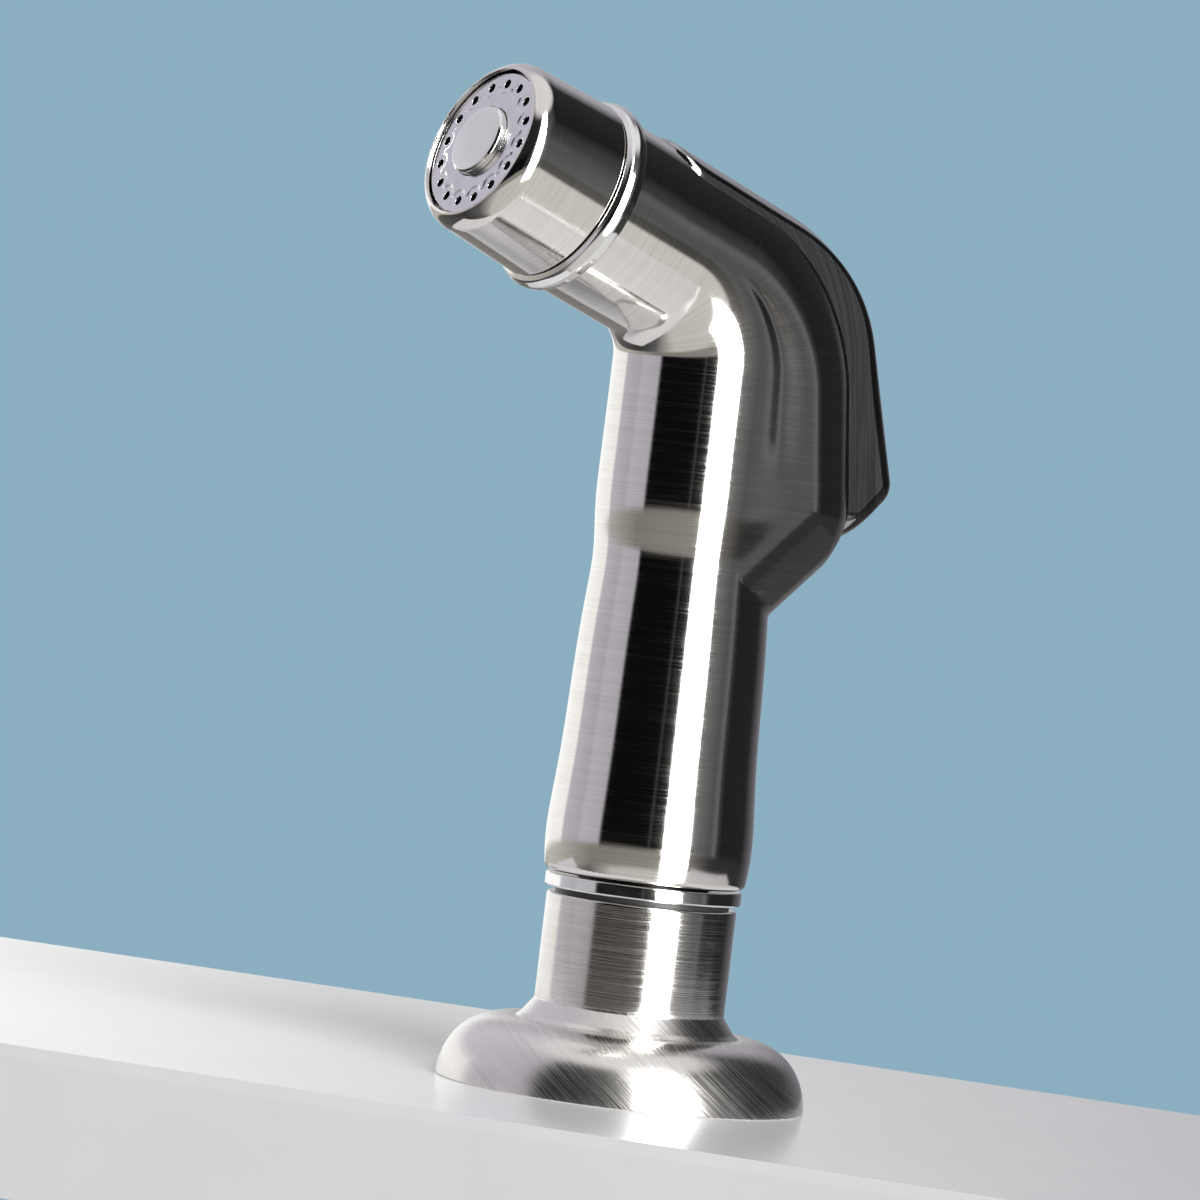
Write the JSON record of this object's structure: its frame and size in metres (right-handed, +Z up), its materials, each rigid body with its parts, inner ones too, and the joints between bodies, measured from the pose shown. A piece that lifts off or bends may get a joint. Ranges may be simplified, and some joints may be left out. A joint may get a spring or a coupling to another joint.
{
  "type": "kitchen side sprayer",
  "caption": "Deck-mounted kitchen hand sprayer: angled head with a drilled spray face and a thumb lever at the back, swivelling on a hose coupling that stands in a flanged holder.",
  "frame": {"origin": "centre of the holder's flange, in the plane of the deck that it rests on", "axes": "+Z up along the holder and handle, the spray head points towards -Y, X is square to the part's plane of symmetry"},
  "size_m": [0.052, 0.0746, 0.1827],
  "materials": {
    "brushed_nickel": "brushed nickel plate, lines round the axis",
    "polished_nickel": "polished nickel plate",
    "lever_nickel": "brushed nickel plate, lines across the lever",
    "face_plastic": "satin grey moulded plastic",
    "white_plastic": "moulded acetal",
    "black_plastic": "moulded nylon",
    "rubber": "nitrile rubber",
    "brass": "turned brass",
    "steel": "stainless steel"
  },
  "bodies": {
    "holder": {"holder": "brushed_nickel", "deck_gasket": "rubber", "guide_sleeve": "white_plastic", "mounting_shank": "brass", "clamp_washer": "steel", "lock_nut": "black_plastic"},
    "hose_end": {"hose_coupling": "black_plastic", "swivel_ring": "polished_nickel", "hose_washer": "rubber", "swivel_o_ring": "rubber", "retaining_clip": "steel", "inlet_screen": "steel"},
    "sprayer": {"handle_body": "brushed_nickel", "valve_seat": "brass", "valve_gland": "brass", "stem_o_ring": "rubber", "valve_spring": "steel", "lever_pin": "steel", "collar_ring": "polished_nickel", "nozzle_shell": "brushed_nickel", "spray_face": "face_plastic", "centre_button": "polished_nickel", "face_screw": "steel", "jet_former": "white_plastic", "nozzle_washer": "rubber"},
    "valve": {"valve_stem": "brass", "valve_washer": "rubber"},
    "lever": {"lever": "lever_nickel"}
  },
  "joints": [
    {"name": "lift_out", "type": "slide", "parent": "holder", "child": "hose_end", "axis": [0, 0, 1], "range_m": [0, 0.06]},
    {"name": "handle_swivel", "type": "hinge", "parent": "hose_end", "child": "sprayer", "pos_m": [0, 0, 0.03], "axis": [0, 0, 1], "continuous": true},
    {"name": "lever_press", "type": "hinge", "parent": "sprayer", "child": "lever", "pos_m": [0, -0.01079, 0.12292], "axis": [-1, 0, 0], "range_deg": [0, 5], "stiffness_Nm_per_rad": 4, "springref_deg": -5.16},
    {"name": "valve_travel", "type": "slide", "parent": "sprayer", "child": "valve", "axis": [0, -1, 0], "range_m": [0, 0.0035], "deforming": ["valve_spring"]}
  ],
  "couplings": [
    {"joint": "valve_travel", "follows": "lever_press", "m_per_rad": 0.038924}
  ]
}
